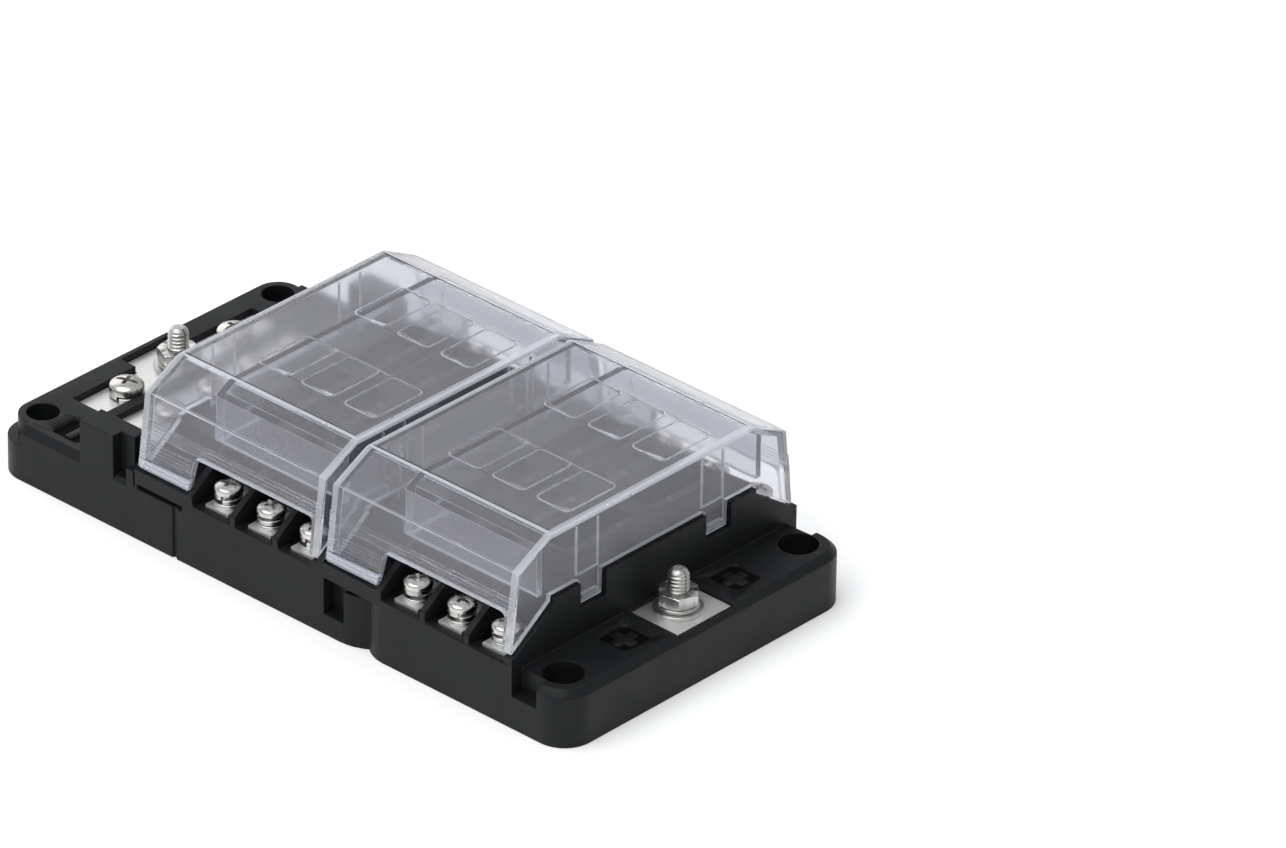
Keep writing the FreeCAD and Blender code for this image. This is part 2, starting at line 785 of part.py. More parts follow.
def load_terminal(x, sign):
    """Folded sheet: the pad under the wire screw, the strip inwards and the two clip leaves."""
    fuse_x = x - fuse_offset
    half = terminal_width / 2
    chamber_high = fuse_x + chamber_width / 2 - pocket_gap
    chamber_low = max(x - half, fuse_x - chamber_width / 2 + pocket_gap)
    inner = load_blade_y - chamber_length / 2 + pocket_gap
    step = load_blade_y + chamber_length / 2 - pocket_gap
    high = pad_top
    leaf_low, leaf_high = load_blade_y - clip_leaf_width / 2, load_blade_y + clip_leaf_width / 2
    solids = [side_box(sign, x - half, x + half, step, side - terminal_front_gap, terminal_floor, high),
              side_box(sign, chamber_low, chamber_high, inner, step, terminal_floor, high)]
    for low in (fuse_x - clip_leaf_gap / 2 - sheet, fuse_x + clip_leaf_gap / 2):
        solids.append(side_box(sign, low, low + sheet, leaf_low, leaf_high, high, clip_top))
    hole = rod(x, sign * load_screw_y, load_shank_diameter + 2 * running_gap, terminal_floor, high)
    return joined(solids).cut(hole)


def line_clip(x, sign):
    """Fork clip that stands on the positive bus and takes a fuse's inner blade."""
    fuse_x = x - fuse_offset
    foot = line_clip_foot / 2
    leaf = clip_leaf_width / 2
    solids = [side_box(sign, fuse_x - foot, fuse_x + foot, line_blade_y - leaf, line_blade_y + leaf,
                       bus_top, bus_top + sheet)]
    for low in (fuse_x - clip_leaf_gap / 2 - sheet, fuse_x + clip_leaf_gap / 2):
        solids.append(side_box(sign, low, low + sheet, line_blade_y - leaf, line_blade_y + leaf,
                               bus_top + sheet, clip_top))
    return joined(solids)


def fuse_lamp(x, sign):
    """Small red lamp in the socket's thick wall, its end rounded."""
    lamp_x = x - fuse_offset + (fuse_body_width + socket_lamp_side) / 2
    top = socket_top + lamp_proud
    lamp = rod(lamp_x, sign * lamp_from_middle, lamp_diameter, top - lamp_length, top)
    rounding = Part.makeSphere(lamp_length, Vector(lamp_x, sign * lamp_from_middle, top - lamp_length))
    return lamp.common(rounding)


def positive_bus_bar():
    bar = box(bus_start, pad_end, -bus_half_width, bus_half_width, bus_top - bus_thickness, bus_top)
    return bar.cut(rod(stud_x, 0, stud_diameter + 2 * running_gap, bus_top - bus_thickness, bus_top))


def negative_bus_plate():
    gap = pocket_gap
    low = negative_plate_top - negative_plate_thickness
    start = left_end + negative_pocket_inset
    wide = box(start + gap, start + negative_pocket_length - gap, -negative_pocket_half_width + gap,
               negative_pocket_half_width - gap, low, negative_plate_top)
    tab = box(left_end + negative_tab_inset + gap, start + gap, -negative_tab_half_width + gap,
              negative_tab_half_width - gap, low, negative_plate_top)
    plate = joined([wide, tab])
    plate = plate.cut(rod(negative_stud_x, 0, stud_diameter + 2 * running_gap, low, negative_plate_top))
    for x, y in negative_large_places():
        plate = plate.cut(rod(x, y, large_shank_diameter + 2 * running_gap, low, negative_plate_top))
    for x, y in negative_small_places():
        plate = plate.cut(rod(x, y, load_shank_diameter + 2 * running_gap, low, negative_plate_top))
    return plate


def stud(x, plate_top, plate_thickness):
    """Headed stud pushed up through its plate; the thread is left plain."""
    foot = plate_top - plate_thickness
    head = rod(x, 0, stud_head_diameter, foot - stud_head_height, foot)
    height = stud_rise + plate_thickness
    shank = Part.makeCylinder(stud_diameter / 2, height, Vector(x, 0, foot))
    tip = [e for e in shank.Edges if e.Vertexes[0].Z > foot + height / 2 and len(e.Vertexes) == 1]
    return head.fuse(shank.makeChamfer(stud_tip_chamfer, tip)).removeSplitter()


def hex_nut(x, z0, turn):
    """Hexagonal nut turned by an angle, chamfered on both faces, with a plain bore."""
    corner = nut_across_flats / 2 / math.cos(math.radians(30))
    angles = [math.radians(60 * i + turn) for i in range(6)]
    points = [Vector(x + corner * math.cos(a), corner * math.sin(a), z0) for a in angles]
    prism = Part.Face(Part.makePolygon(points + points[:1])).extrude(Vector(0, 0, nut_height))
    drop = (corner - nut_across_flats / 2) * math.tan(math.radians(nut_chamfer_angle))
    low = Part.makeCone(nut_across_flats / 2, corner, drop, Vector(x, 0, z0))
    middle = rod(x, 0, 2 * corner, z0 + drop, z0 + nut_height - drop)
    high = Part.makeCone(corner, nut_across_flats / 2, drop, Vector(x, 0, z0 + nut_height - drop))
    envelope = joined([low, middle, high])
    return prism.common(envelope).cut(rod(x, 0, stud_diameter + 2 * running_gap, z0, z0 + nut_height))


def save_stud_set(name, x, plate_top, plate_thickness, nut_turn):
    bore = stud_diameter + 2 * running_gap
    flat_top = plate_top + flat_washer_thickness
    spring_top = flat_top + spring_washer_thickness
    save(name + "_stud", stud(x, plate_top, plate_thickness))
    save(name + "_flat_washer", ring(x, 0, flat_washer_diameter, bore, plate_top, flat_top))
    save(name + "_spring_washer", split_ring(x, 0, spring_washer_diameter, bore, flat_top, spring_top))
    save(name + "_nut", hex_nut(x, spring_top, nut_turn))


def cover_slot_ring(x, y):
    """Cutter for one label outline sunk in the top of a cover."""
    half_x, half_y = label_width / 2, label_length / 2
    outer = rounded_box(x - half_x, x + half_x, y - half_y, y + half_y,
                        cover_top - label_depth, cover_top + label_depth, label_corner)
    inner = rounded_box(x - half_x + label_line, x + half_x - label_line, y - half_y + label_line,
                        y + half_y - label_line, cover_top - label_depth, cover_top + label_depth,
                        label_corner - label_line)
    return outer.cut(inner)


def cover_tongues(start):
    """Four latch tongues that hang from the end walls, each with a small window."""
    tongues = []
    for low in (start, start + cover_length - cover_wall):
        for sign in (-1, 1):
            y = sign * tongue_half_spacing
            half = tongue_width / 2
            tongue = box(low, low + cover_wall, y - half, y + half, tongue_foot, seat_top + cover_wall)
            sill = tongue_foot + tongue_window_margin
            slit = half - tongue_window_margin
            window = box(low, low + cover_wall, y - slit, y + slit, sill, sill + tongue_window_height)
            tongues.append(tongue.cut(window))
    return tongues


def cover_grips(start):
    """Fine ridges across the tabs, and a band of them above the notches."""
    ridges = []
    end = start + cover_length
    notch_start = start + tab_zone
    lines = [(cover_tab_foot + grip_pitch * (i + 1), start, notch_start) for i in range(grip_tab_lines)]
    lines += [(notch_top + grip_pitch * (i + 1), start, end) for i in range(grip_band_lines)]
    for height, x0, x1 in lines:
        for sign in (-1, 1):
            y = cover_side_y(height)
            top = height + grip_height
            ridges.append(side_box(sign, x0, x1, y - cover_wall / 2, y + grip_depth, height, top))
    return ridges


def cover_notch(start, sign):
    """Opening in a side wall above the load terminals, its left flank leaning and its corners round."""
    low = start + tab_zone - notch_lead
    high = start + cover_length - flange_width
    foot = cover_end_foot - sheet
    points = [(low, foot), (low + notch_lean, notch_top), (high, notch_top), (high, foot)]
    y0, y1 = sorted((sign * (deck_half_width + cover_wall), sign * (side + cover_wall)))
    cutter = prism_along_y(points, y0, y1)
    rounded = [e for e in cutter.Edges
               if abs(e.Vertexes[0].Y - e.Vertexes[1].Y) > cover_wall
               and min(v.Z for v in e.Vertexes) > notch_top - running_gap]
    return cutter.makeFillet(notch_corner, rounded)


def cover(start):
    """Clear lid over three fuse columns: shell, inner skirt, rib, tongues, grips and label outlines."""
    end = start + cover_length
    outer = prism_along_x(cover_outline(0, cover_end_foot), start, end)
    inner = prism_along_x(cover_outline(cover_wall, cover_end_foot - cover_wall),
                          start + cover_wall, end - cover_wall)
    shell = outer.cut(inner)
    end_seat = seat_room(seat_foot, cover_seat_gap)
    above = prism_along_x(end_seat, start, end)
    shell = shell.common(above)
    for sign in (-1, 1):
        shell = shell.cut(side_box(sign, start, start + tab_zone - notch_lead + notch_lean,
                                   deck_half_width + cover_wall,
                                   side + cover_wall, 0, cover_tab_foot))
        shell = shell.cut(cover_notch(start, sign))
    first_tower = start + first_terminal - fuse_offset - fuse_body_width / 2 - socket_wall
    rib_high = first_tower - rib_clearance
    rib_low = rib_high - rib_thickness
    room = prism_along_x(cover_outline(cover_wall / 2, skirt_foot), rib_low, end - cover_wall / 2)
    rib = box(rib_low, rib_high, -skirt_half_width, skirt_half_width, skirt_foot, cover_top)
    walls = [rib.common(room)]
    for sign in (-1, 1):
        wall = side_box(sign, rib_low, end - cover_wall / 2, skirt_half_width - skirt_thickness,
                        skirt_half_width, skirt_foot, cover_top)
        walls.append(wall.common(room))
    solid = joined([shell] + walls + cover_tongues(start) + cover_grips(start))
    for column in range(terminals_per_side):
        label_x = first_tower + fuse_body_width / 2 + socket_wall + terminal_pitch * column - label_shift
        for sign in (-1, 1):
            label_y = sign * (label_from_middle + label_length / 2)
            solid = solid.cut(cover_slot_ring(label_x, label_y))
    return solid.removeSplitter()


def save_screws():
    """The wire screws and their washers, on the load side and on the negative bus."""
    bore = load_shank_diameter + 2 * running_gap
    for name, plate_top, places in (
            ("load", pad_top, [(x, sign * load_screw_y) for x, sign in terminal_places()]),
            ("negative_small", negative_plate_top, negative_small_places())):
        flat_top = plate_top + load_washer_thickness
        spring_top = flat_top + load_spring_thickness
        flats = [ring(x, y, load_washer_diameter, bore, plate_top, flat_top) for x, y in places]
        springs = [split_ring(x, y, load_spring_diameter, bore, flat_top, spring_top) for x, y in places]
        save(name + "_flat_washers", Part.Compound(flats))
        save(name + "_spring_washers", Part.Compound(springs))
        save(name + "_screws", Part.Compound([load_screw(x, y, spring_top) for x, y in places]))
    bore = large_shank_diameter + 2 * running_gap
    spring_top = negative_plate_top + large_spring_thickness
    places = negative_large_places()
    springs = [split_ring(x, y, large_head_diameter, bore, negative_plate_top, spring_top)
               for x, y in places]
    screws = [domed_screw(x, y, spring_top, large_head_diameter, large_head_height,
                          large_shank_diameter, large_shank_length) for x, y in places]
    save("negative_large_spring_washers", Part.Compound(springs))
    save("negative_large_screws", Part.Compound(screws))


def main():
    os.makedirs("parts", exist_ok=True)
    save_base()
    save("back_plate", back_plate())
    save("back_plate_screws", back_plate_screws())
    save("cover_left", cover(module_starts[0]))
    save("cover_right", cover(module_starts[1]))
    save("positive_bus_bar", positive_bus_bar())
    save("negative_bus_plate", negative_bus_plate())
    save_stud_set("positive", stud_x, bus_top, bus_thickness, positive_nut_turn)
    save_stud_set("negative", negative_stud_x, negative_plate_top, negative_plate_thickness,
                  negative_nut_turn)
    save_screws()
    for number, (x, sign) in enumerate(terminal_places(), start=1):
        save("load_terminal_%02d" % number, load_terminal(x, sign))
        save("line_clip_%02d" % number, line_clip(x, sign))
    save("fuse_lamps", Part.Compound([fuse_lamp(x, sign) for x, sign in terminal_places()]))


main()
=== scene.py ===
import json
import math

import bmesh
import bpy
from mathutils import Matrix, Vector

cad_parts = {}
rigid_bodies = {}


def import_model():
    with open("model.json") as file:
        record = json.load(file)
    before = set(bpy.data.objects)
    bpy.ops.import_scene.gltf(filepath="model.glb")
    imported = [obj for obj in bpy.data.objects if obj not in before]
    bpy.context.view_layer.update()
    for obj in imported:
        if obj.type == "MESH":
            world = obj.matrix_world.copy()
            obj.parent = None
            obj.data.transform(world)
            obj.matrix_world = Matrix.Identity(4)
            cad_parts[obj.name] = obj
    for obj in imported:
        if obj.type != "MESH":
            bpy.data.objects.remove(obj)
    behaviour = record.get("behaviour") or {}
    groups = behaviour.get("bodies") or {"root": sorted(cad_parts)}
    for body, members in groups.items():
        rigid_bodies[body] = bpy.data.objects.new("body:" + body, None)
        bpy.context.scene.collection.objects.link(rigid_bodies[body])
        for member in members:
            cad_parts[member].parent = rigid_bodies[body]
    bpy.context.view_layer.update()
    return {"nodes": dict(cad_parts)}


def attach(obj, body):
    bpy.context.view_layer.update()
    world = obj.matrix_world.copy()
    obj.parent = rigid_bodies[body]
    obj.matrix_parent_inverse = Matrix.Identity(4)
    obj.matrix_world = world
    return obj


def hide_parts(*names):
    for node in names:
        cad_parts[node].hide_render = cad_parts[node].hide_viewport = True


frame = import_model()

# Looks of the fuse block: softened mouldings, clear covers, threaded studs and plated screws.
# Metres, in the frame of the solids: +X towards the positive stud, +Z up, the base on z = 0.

scene = bpy.context.scene
mm = 0.001

# Camera, fitted to the photograph
image_width = 1286
focal_pixels = 11147
sensor_width = 36.0
camera_place = Vector((1.370149, -1.429728, 1.178821))
camera_right = Vector((0.732530, 0.680602, 0.013454))
camera_up = Vector((-0.350889, 0.360577, 0.864211))
near_clip = 0.05
far_clip = 50

# Studio; each lamp is (name, place, size, power)
floor_reach = 6.0
floor_tone = 0.92
floor_roughness = 0.9
floor_glow = 0.22
surround_tint = (0.96, 0.98, 1.0)
surround_strength = 0.55
backdrop_strength = 1.0
lamps = [("key", (-0.1, -0.5, 1.1), 1.3, 9.4), ("fill", (-0.9, 0.3, 0.4), 0.9, 2.0)]

# Places of the parts that the scene models again in detail
load_screw_x = [-18.1 * mm, -5.85 * mm, 6.4 * mm, 35.7 * mm, 47.95 * mm, 60.2 * mm]
load_screw_y = 37.2 * mm
pad_top = 15.4 * mm
positive_stud_x = 72.9 * mm
negative_stud_x = -69.8 * mm
positive_plate_top = 12.4 * mm
negative_plate_top = 11.6 * mm
negative_large_x = -69.2 * mm
negative_large_y = 15.9 * mm
negative_small_x = -54.4 * mm
negative_small_y = [-18.375 * mm, -6.125 * mm, 6.125 * mm, 18.375 * mm]

# Studs; the thread's section is a list of (share of the pitch, share of the depth)
stud_radius = 2.25 * mm
stud_rise = 9.6 * mm
stud_tip = 1.5 * mm
stud_tip_narrowing = 0.78
stud_thread_pitch = 0.85 * mm
stud_thread_depth = 0.30 * mm
stud_thread_section = [(0.0, 1.0), (0.30, 0.0), (0.50, 0.0), (0.80, 1.0)]
stud_head_radius = 4.5 * mm
stud_head_height = 2.4 * mm
stud_head_chamfer = 0.3 * mm
positive_plate = 1.5 * mm
negative_plate = 1.2 * mm

# Washers
stud_washer_radius = 5.3 * mm
stud_washer_thickness = 0.8 * mm
stud_spring_radius = 4.4 * mm
stud_spring_thickness = 1.0 * mm
stud_spring_lift = 0.15 * mm
load_washer_radius = 3.0 * mm
load_washer_thickness = 1.0 * mm
load_spring_radius = 2.9 * mm
load_spring_thickness = 2.0 * mm
load_spring_lift = 0.95 * mm
large_spring_thickness = 1.2 * mm
large_spring_lift = 0.35 * mm

# Screws
load_head_radius = 3.05 * mm
load_head_height = 1.9 * mm
load_shank_radius = 1.7 * mm
load_shank_length = 8.5 * mm
large_head_radius = 3.75 * mm
large_head_height = 2.5 * mm
large_shank_radius = 2.2 * mm
large_shank_length = 8.0 * mm

# Screw heads, as shares of the head's radius and height
crown_start = 0.42
crown_fullness = 0.72
shank_tip = 0.8
shank_chamfer = 0.3
cross_reach = 0.56
cross_arm = 0.15
cross_floor = 0.38
slot_reach = 0.86
slot_arm = 0.12
slot_floor = 0.62
recess_taper = 0.62
recess_top = 1.3

# Angles in radians that the spring washers' splits and the screw heads were left at
near_split = math.radians(-75)
far_split = math.radians(120)
split_gap = math.radians(9)
split_spread = math.radians(45)
split_step = 2.4
first_turn = 0.35
turn_step = 1.13

# Turned and swept shapes: points about the axis or along a curve, and the least radius
washer_steps = 64
spring_steps = 60
stud_steps = 48
screw_steps = 56
crown_steps = 10
axis_radius = 0.01 * mm

# Polarity marks
mark_places = [(73.4 * mm, 16.5 * mm), (-64.2 * mm, 35.0 * mm)]
mark_reach = 5.6 * mm
mark_floor = 12.3 * mm

# Covers
cover_starts = [-39.6 * mm, 14.2 * mm]
cover_length = 51.6 * mm
cover_wall = 1.7 * mm
cover_top = 39.6 * mm
cover_ridge = 34.5 * mm
skirt_foot = 26.0 * mm
grip_height = 0.35 * mm
grip_ranges = [(17.2 * mm, 24.4 * mm), (25.2 * mm, 29.5 * mm)]
groove_depth = 0.25 * mm
label_reach = 26.0 * mm
long_edge = 8 * mm

# Fine ribs that frame each latch tongue on the inner side of the covers' end walls
tongue_middle = 18.6 * mm
tongue_half = 3.375 * mm
tongue_foot = 19.8 * mm
frame_top = 37.4 * mm
frame_rib = 0.45 * mm
frame_edge = 1.2 * frame_rib

# Refraction of the covers, kept gentle so that their thin walls don't look dark edge-on
cover_ior = 1.25

# Edge softening; the shares are parts of cover_edge
moulding_edge = 0.22 * mm
metal_edge = 0.10 * mm
cover_edge = 0.80 * mm
tongue_share = 0.5
inner_share = 0.12
ridge_share = 0.22
side_share = 0.5
small_share = 0.2
bevel_segments = 2
weld_distance = 0.0005 * mm
cut_distance = 0.001 * mm
fit_gap = 0.05 * mm

# Angles in degrees: edges sharper than the first are rounded, faces flatter than the others are
# shaded as one
rounding_angle = 35
cover_rounding_angle = 20
moulding_smoothing = 30
cover_smoothing = 20
metal_smoothing = 35
thread_smoothing = 32

# Materials of the covers, by their place in the list that the covers get
clear_zone, band_zone, frost_zone = range(3)


def new_material(name):
    material = bpy.data.materials.new(name)
    material.use_nodes = True
    tree = material.node_tree
    return material, tree, tree.nodes["Principled BSDF"]


def object_noise(tree, scale, detail=3.0, stretch=(1, 1, 1)):
    """Noise in the object's own space, so it stays with the piece from every side."""
    coordinate = tree.nodes.new("ShaderNodeTexCoord")
    mapping = tree.nodes.new("ShaderNodeMapping")
    mapping.inputs["Scale"].default_value = stretch
    noise = tree.nodes.new("ShaderNodeTexNoise")
    noise.inputs["Scale"].default_value = scale
    noise.inputs["Detail"].default_value = detail
    tree.links.new(coordinate.outputs["Object"], mapping.inputs["Vector"])
    tree.links.new(mapping.outputs["Vector"], noise.inputs["Vector"])
    return noise.outputs["Fac"]


def vary_colour(tree, shader, source, dark, light):
    """Let noise move the colour from dark to light over the middle of its range."""
    ramp = tree.nodes.new("ShaderNodeValToRGB")
    for element, position, colour in zip(ramp.color_ramp.elements, (0.35, 0.65), (dark, light)):
        element.position = position
        element.color = (*colour, 1)
    tree.links.new(source, ramp.inputs["Fac"])
    tree.links.new(ramp.outputs["Color"], shader.inputs["Base Color"])


def vary_roughness(tree, shader, source, low, high):
    """Let noise move the roughness from low to high over the middle of its range."""
    spread = tree.nodes.new("ShaderNodeMapRange")
    spread.inputs["From Min"].default_value = 0.3
    spread.inputs["From Max"].default_value = 0.7
    spread.inputs["To Min"].default_value = low
    spread.inputs["To Max"].default_value = high
    tree.links.new(source, spread.inputs["Value"])
    tree.links.new(spread.outputs["Result"], shader.inputs["Roughness"])


def add_bump(tree, shader, source, strength, distance):
    bump = tree.nodes.new("ShaderNodeBump")
    bump.inputs["Strength"].default_value = strength
    bump.inputs["Distance"].default_value = distance
    tree.links.new(source, bump.inputs["Height"])
    tree.links.new(bump.outputs["Normal"], shader.inputs["Normal"])


def moulded_black():
    """Satin black moulding with a fine spark-eroded grain and faint handling marks."""
    material, tree, shader = new_material("moulded_black")
    vary_colour(tree, shader, object_noise(tree, scale=45),
                dark=(0.0070, 0.0078, 0.0086), light=(0.0105, 0.0114, 0.0122))
    vary_roughness(tree, shader, object_noise(tree, scale=120, detail=5), low=0.40, high=0.52)
    shader.inputs["Specular IOR Level"].default_value = 0.20
    add_bump(tree, shader, object_noise(tree, scale=5200, detail=2), strength=0.22, distance=0.03 * mm)
    return material


def shaded_sunk_black():
    """The same moulding on the dull floors of the polarity marks, which catch little light; its colour is
    darker than the black's as painted shade.
    """
    material, tree, shader = new_material("shaded_sunk_black")
    vary_colour(tree, shader, object_noise(tree, scale=45),
                dark=(0.0026, 0.0030, 0.0034), light=(0.0040, 0.0044, 0.0048))
    vary_roughness(tree, shader, object_noise(tree, scale=120, detail=5), low=0.55, high=0.65)
    shader.inputs["Specular IOR Level"].default_value = 0.04
    return material


def back_insulator():
    """Dull dark sheet of the back plate."""
    material, tree, shader = new_material("back_insulator")
    vary_colour(tree, shader, object_noise(tree, scale=80),
                dark=(0.016, 0.016, 0.017), light=(0.024, 0.024, 0.025))
    vary_roughness(tree, shader, object_noise(tree, scale=300), low=0.55, high=0.7)
    add_bump(tree, shader, object_noise(tree, scale=3000, detail=2), strength=0.3, distance=0.04 * mm)
    return material


def clear_cover():
    """Clear moulding with a slight smoky haze and the gentle waves of a moulded wall."""
    material, tree, shader = new_material("clear_cover")
    shader.inputs["Base Color"].default_value = (0.84, 0.845, 0.88, 1)
    shader.inputs["Transmission Weight"].default_value = 0.895
    shader.inputs["IOR"].default_value = cover_ior
    vary_roughness(tree, shader, object_noise(tree, scale=70), low=0.09, high=0.14)
    add_bump(tree, shader, object_noise(tree, scale=110, detail=1), strength=0.04, distance=0.4 * mm)
    return material


def hazy_plastic(name, clearness, colour):
    """Hazier plastic of the covers: their own scattering at rims and in walls seen end-on, and a painted
    highlight where it lightens the roundings and label outlines.
    """
    material, tree, shader = new_material(name)
    shader.inputs["Base Color"].default_value = (*colour, 1)
    shader.inputs["Transmission Weight"].default_value = clearness
    shader.inputs["IOR"].default_value = cover_ior
    vary_roughness(tree, shader, object_noise(tree, scale=200), low=0.25, high=0.40)
    return material


def plated(name, dark, light, low, high, grain, stretch=(1, 1, 1), relief=0.25):
    """Plated metal: a slightly uneven bright skin with fine marks."""
    material, tree, shader = new_material(name)
    shader.inputs["Metallic"].default_value = 1.0
    vary_colour(tree, shader, object_noise(tree, scale=260), dark, light)
    vary_roughness(tree, shader, object_noise(tree, scale=700, detail=4), low, high)
    add_bump(tree, shader, object_noise(tree, grain, stretch=stretch), relief, distance=0.02 * mm)
    return material


def lamp_red():
    """Dark red body of the small lamps."""
    material, tree, shader = new_material("lamp_red")
    shader.inputs["Transmission Weight"].default_value = 0.35
    shader.inputs["Coat Weight"].default_value = 0.5
    vary_colour(tree, shader, object_noise(tree, scale=900),
                dark=(0.085, 0.010, 0.009), light=(0.14, 0.014, 0.012))
    vary_roughness(tree, shader, object_noise(tree, scale=2000), low=0.15, high=0.3)
    return material


black = moulded_black()
sunk = shaded_sunk_black()
insulator = back_insulator()
clear = clear_cover()
# hazier plastics of the covers; on the roundings and label outlines their lighter colour is a painted
# highlight
band = hazy_plastic("wall_band", clearness=0.62, colour=(0.86, 0.87, 0.93))
frost_and_highlight = hazy_plastic("frosted_rim_and_highlight", clearness=0.42, colour=(0.82, 0.83, 0.89))
tin_bus = plated("tinned_bus", dark=(0.84, 0.84, 0.82), light=(0.88, 0.88, 0.86), low=0.44, high=0.52,
                 grain=900, stretch=(1, 6, 1), relief=0.05)
tin_clip = plated("tinned_clip", dark=(0.86, 0.86, 0.84), light=(0.90, 0.90, 0.88), low=0.44, high=0.54,
                  grain=1500, stretch=(6, 1, 1), relief=0.05)
nickel = plated("nickel_screw", dark=(0.56, 0.54, 0.51), light=(0.70, 0.68, 0.65), low=0.20, high=0.32,
                grain=2600)
zinc = plated("zinc_washer", dark=(0.50, 0.50, 0.49), light=(0.64, 0.64, 0.62), low=0.26, high=0.40,
              grain=2400)
stainless = plated("stainless_thread", dark=(0.44, 0.43, 0.41), light=(0.58, 0.57, 0.55), low=0.30,
                   high=0.44, grain=3200)
red = lamp_red()

# The solids' own materials, by the start of the node's name; all others are zinc
node_materials = {
    "back_plate_screws": nickel, "back_plate": insulator, "positive_bus_bar": tin_bus,
    "negative_bus_plate": tin_bus, "load_terminal": tin_clip, "line_clip": tin_clip, "fuse_lamps": red,
}


def dress(obj, material):
    obj.data.materials.clear()
    obj.data.materials.append(material)


def link(name, mesh):
    obj = bpy.data.objects.new(name, mesh)
    scene.collection.objects.link(obj)
    return obj


def add_piece(name, mesh, body, nodes):
    """Link a mesh as a piece that stands for CAD nodes and moves with a body."""
    piece = link(name, mesh)
    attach(piece, body)
    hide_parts(*nodes)


def evaluated(source):
    """Mesh of an object with its modifiers applied; the object is removed."""
    graph = bpy.context.evaluated_depsgraph_get()
    mesh = bpy.data.meshes.new_from_object(source.evaluated_get(graph))
    bpy.data.objects.remove(source)
    return mesh


def even_shading(name, mesh, angle):
    """Smooth a mesh up to an angle, with the normals of its large faces kept flat."""
    mesh.shade_smooth()
    mesh.set_sharp_from_angle(angle=math.radians(angle))
    source = link(name + "_shading", mesh)
    weighted = source.modifiers.new("normals", "WEIGHTED_NORMAL")
    weighted.keep_sharp = True
    return evaluated(source)


def add_metal(name, mesh, smoothing, material, node):
    """Add a piece of one metal that stays with the base."""
    mesh.materials.append(material)
    add_piece(name, even_shading(name, mesh, smoothing), "base", [node])


def joined_nodes(name, nodes):
    """One skin over several CAD nodes that meet face to face."""
    group = bpy.data.collections.new(name + "_parts")
    whole = link(name, frame["nodes"][nodes[0]].data.copy())
    for node in nodes[1:]:
        part = bpy.data.objects.new(name + "_" + node, frame["nodes"][node].data.copy())
        group.objects.link(part)
    union = whole.modifiers.new("union", "BOOLEAN")
    union.operation = "UNION"
    union.operand_type = "COLLECTION"
    union.collection = group
    union.solver = "EXACT"
    mesh = evaluated(whole)
    for part in list(group.objects):
        bpy.data.objects.remove(part)
    bpy.data.collections.remove(group)
    return mesh


def softened(mesh, name, width, materials, body, nodes, angle=rounding_angle,
             smoothing=moulding_smoothing, share=None, pick=None, splits=()):
    """Add a piece whose sharp edges are rounded by width, times the share that share(edge) gives.

    The last material goes on the roundings, and pick(face) chooses one for each other face.
    The skin is first divided by upright planes at the X places in splits.
    """
    shape = bmesh.new()
    shape.from_mesh(mesh)
    bmesh.ops.remove_doubles(shape, verts=shape.verts, dist=weld_distance)
    for x in splits:
        whole = shape.verts[:] + shape.edges[:] + shape.faces[:]
        bmesh.ops.bisect_plane(shape, geom=whole, plane_co=(x, 0, 0), plane_no=(1, 0, 0),
                               dist=cut_distance)
    weight = shape.edges.layers.float.new("bevel_weight_edge")
    for edge in shape.edges:
        if len(edge.link_faces) != 2 or edge.calc_length() < width:
            continue
        if edge.calc_face_angle(0.0) > math.radians(angle):
            edge[weight] = share(edge) if share else 1.0
    for face in shape.faces:
        face.material_index = pick(face) if pick else 0
    mesh.materials.clear()
    for material in materials:
        mesh.materials.append(material)
    shape.to_mesh(mesh)
    shape.free()
    source = link(name + "_source", mesh)
    bevel = source.modifiers.new("edges", "BEVEL")
    bevel.width = width
    bevel.segments = bevel_segments
    bevel.limit_method = "WEIGHT"
    bevel.use_clamp_overlap = False
    bevel.material = len(materials) - 1
    add_piece(name, even_shading(name, evaluated(source), smoothing), body, nodes)


def lathe(shape, x, y, profile, steps):
    """Turn a closed outline of (radius, z) points about the upright axis at x, y."""
    rings = []
    for radius, z in profile:
        ring = []
        for i in range(steps):
            angle = math.tau * i / steps
            ring.append(shape.verts.new((x + radius * math.cos(angle), y + radius * math.sin(angle), z)))
        rings.append(ring)
    for low, high in zip(rings, rings[1:] + rings[:1]):
        for i in range(steps):
            j = (i + 1) % steps
            shape.faces.new((low[i], low[j], high[j], high[i]))


def finish_mesh(shape, name):
    mesh = bpy.data.meshes.new(name)
    bmesh.ops.recalc_face_normals(shape, faces=shape.faces)
    shape.to_mesh(mesh)
    shape.free()
    return mesh


def ring_profile(inner, outer, low, high):
    """Rectangular section of a washer with its corners cut."""
    edge = metal_edge
    return [(inner, low + edge), (inner + edge, low), (outer - edge, low), (outer, low + edge),
            (outer, high - edge), (outer - edge, high), (inner + edge, high), (inner, high - edge)]


def flat_washers(name, places, inner, outer, low, thickness, node):
    shape = bmesh.new()
    for x, y in places:
        lathe(shape, x, y, ring_profile(inner, outer, low, low + thickness), washer_steps)
    add_metal(name, finish_mesh(shape, name), metal_smoothing, zinc, node)


